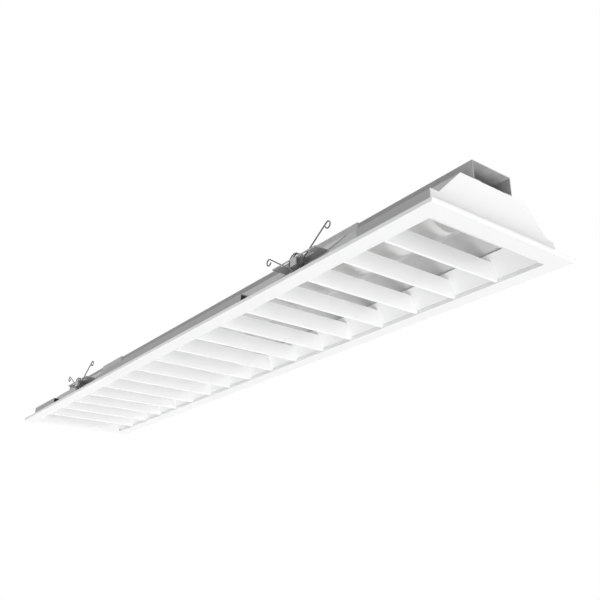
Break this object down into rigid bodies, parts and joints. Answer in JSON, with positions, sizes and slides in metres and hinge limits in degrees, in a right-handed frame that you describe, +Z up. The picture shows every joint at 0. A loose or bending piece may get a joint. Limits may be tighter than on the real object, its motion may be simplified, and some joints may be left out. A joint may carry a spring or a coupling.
{
  "type": "recessed troffer light",
  "caption": "Long narrow recessed ceiling light with a hinged cross-blade louvre, a half-round diffuser and torsion springs that hold it up.",
  "frame": {"origin": "centre of the underside of the trim frame, the visible face in the ceiling", "axes": "+X along the light towards the end with the cable grommet, +Y across it towards the louvre's hinge, +Z up into the ceiling"},
  "size_m": [1.23, 0.238, 0.0903],
  "materials": {
    "white_paint": "fine satin polyester powder coat",
    "louvre_white": "satin white coil coat on aluminium strip",
    "body_coat": "thin light grey coat on folded sheet",
    "galvanised": "galvanised sheet with a faint spangle",
    "opal": "satin opal diffuser",
    "tray_aluminium": "mill finish",
    "board": "white solder mask",
    "connector_plastic": "moulded, satin",
    "driver_case": "moulded case, fine texture",
    "lead_sheath": "smooth sheath",
    "brass_stud": "turned brass",
    "zinc_steel": "bright zinc",
    "grommet_rubber": "moulded rubber",
    "magnet": "nickel plate",
    "spring_steel": "bright drawn wire"
  },
  "bodies": {
    "housing": {"trim_frame": "white_paint", "body_shell": "body_coat", "end_plate_near": "white_paint", "end_plate_far": "white_paint", "side_rails_long": "body_coat", "side_rails_near": "body_coat", "side_rails_far": "body_coat", "top_channel": "galvanised", "strap_bracket_near": "galvanised", "strap_bracket_far": "galvanised", "diffuser": "opal", "diffuser_cap_near": "opal", "diffuser_cap_far": "opal", "gear_tray": "tray_aluminium", "led_board_near": "board", "led_board_far": "board", "led_connector": "connector_plastic", "led_driver": "driver_case", "terminal_block": "connector_plastic", "mains_leads": "lead_sheath", "led_lead": "lead_sheath", "earth_stud": "brass_stud", "pop_rivets": "zinc_steel", "gear_screws": "zinc_steel", "cable_grommet": "grommet_rubber", "lead_grommet": "grommet_rubber", "catch_magnets": "magnet", "spring_coil_left_near": "spring_steel", "spring_coil_left_far": "spring_steel", "spring_coil_right_near": "spring_steel", "spring_coil_right_far": "spring_steel"},
    "louvre": {"louvre_blade_01": "louvre_white", "louvre_blade_02": "louvre_white", "louvre_blade_03": "louvre_white", "louvre_blade_04": "louvre_white", "louvre_blade_05": "louvre_white", "louvre_blade_06": "louvre_white", "louvre_blade_07": "louvre_white", "louvre_blade_08": "louvre_white", "louvre_blade_09": "louvre_white", "louvre_blade_10": "louvre_white", "louvre_blade_11": "louvre_white", "louvre_blade_12": "louvre_white", "louvre_blade_13": "louvre_white", "louvre_blade_14": "louvre_white", "louvre_blade_15": "louvre_white", "louvre_blade_16": "louvre_white", "louvre_side_left": "louvre_white", "louvre_side_right": "louvre_white", "louvre_end_near": "louvre_white", "louvre_end_far": "louvre_white", "hinge_pins": "zinc_steel"},
    "arm_left_near_outer": {"spring_arm_left_near_outer": "spring_steel"},
    "arm_left_near_inner": {"spring_arm_left_near_inner": "spring_steel"},
    "arm_left_far_outer": {"spring_arm_left_far_outer": "spring_steel"},
    "arm_left_far_inner": {"spring_arm_left_far_inner": "spring_steel"},
    "arm_right_near_outer": {"spring_arm_right_near_outer": "spring_steel"},
    "arm_right_near_inner": {"spring_arm_right_near_inner": "spring_steel"},
    "arm_right_far_outer": {"spring_arm_right_far_outer": "spring_steel"},
    "arm_right_far_inner": {"spring_arm_right_far_inner": "spring_steel"}
  },
  "joints": [
    {"name": "louvre_hinge", "type": "hinge", "parent": "housing", "child": "louvre", "pos_m": [0, 0.0925, 0.0025], "axis": [1, 0, 0], "range_deg": [0, 90]},
    {"name": "squeeze_left_near_outer", "type": "hinge", "parent": "housing", "child": "arm_left_near_outer", "pos_m": [0.362, -0.1008, 0.0317], "axis": [0, -1, 0], "range_deg": [0, 50], "stiffness_Nm_per_rad": 0.2},
    {"name": "squeeze_left_near_inner", "type": "hinge", "parent": "housing", "child": "arm_left_near_inner", "pos_m": [0.362, -0.09435, 0.0317], "axis": [0, 1, 0], "range_deg": [0, 50], "stiffness_Nm_per_rad": 0.2},
    {"name": "squeeze_left_far_outer", "type": "hinge", "parent": "housing", "child": "arm_left_far_outer", "pos_m": [-0.362, -0.1008, 0.0317], "axis": [0, -1, 0], "range_deg": [0, 50], "stiffness_Nm_per_rad": 0.2},
    {"name": "squeeze_left_far_inner", "type": "hinge", "parent": "housing", "child": "arm_left_far_inner", "pos_m": [-0.362, -0.09435, 0.0317], "axis": [0, 1, 0], "range_deg": [0, 50], "stiffness_Nm_per_rad": 0.2},
    {"name": "squeeze_right_near_outer", "type": "hinge", "parent": "housing", "child": "arm_right_near_outer", "pos_m": [0.362, 0.1008, 0.0317], "axis": [0, 1, 0], "range_deg": [0, 50], "stiffness_Nm_per_rad": 0.2},
    {"name": "squeeze_right_near_inner", "type": "hinge", "parent": "housing", "child": "arm_right_near_inner", "pos_m": [0.362, 0.09435, 0.0317], "axis": [0, -1, 0], "range_deg": [0, 50], "stiffness_Nm_per_rad": 0.2},
    {"name": "squeeze_right_far_outer", "type": "hinge", "parent": "housing", "child": "arm_right_far_outer", "pos_m": [-0.362, 0.1008, 0.0317], "axis": [0, 1, 0], "range_deg": [0, 50], "stiffness_Nm_per_rad": 0.2},
    {"name": "squeeze_right_far_inner", "type": "hinge", "parent": "housing", "child": "arm_right_far_inner", "pos_m": [-0.362, 0.09435, 0.0317], "axis": [0, -1, 0], "range_deg": [0, 50], "stiffness_Nm_per_rad": 0.2}
  ]
}
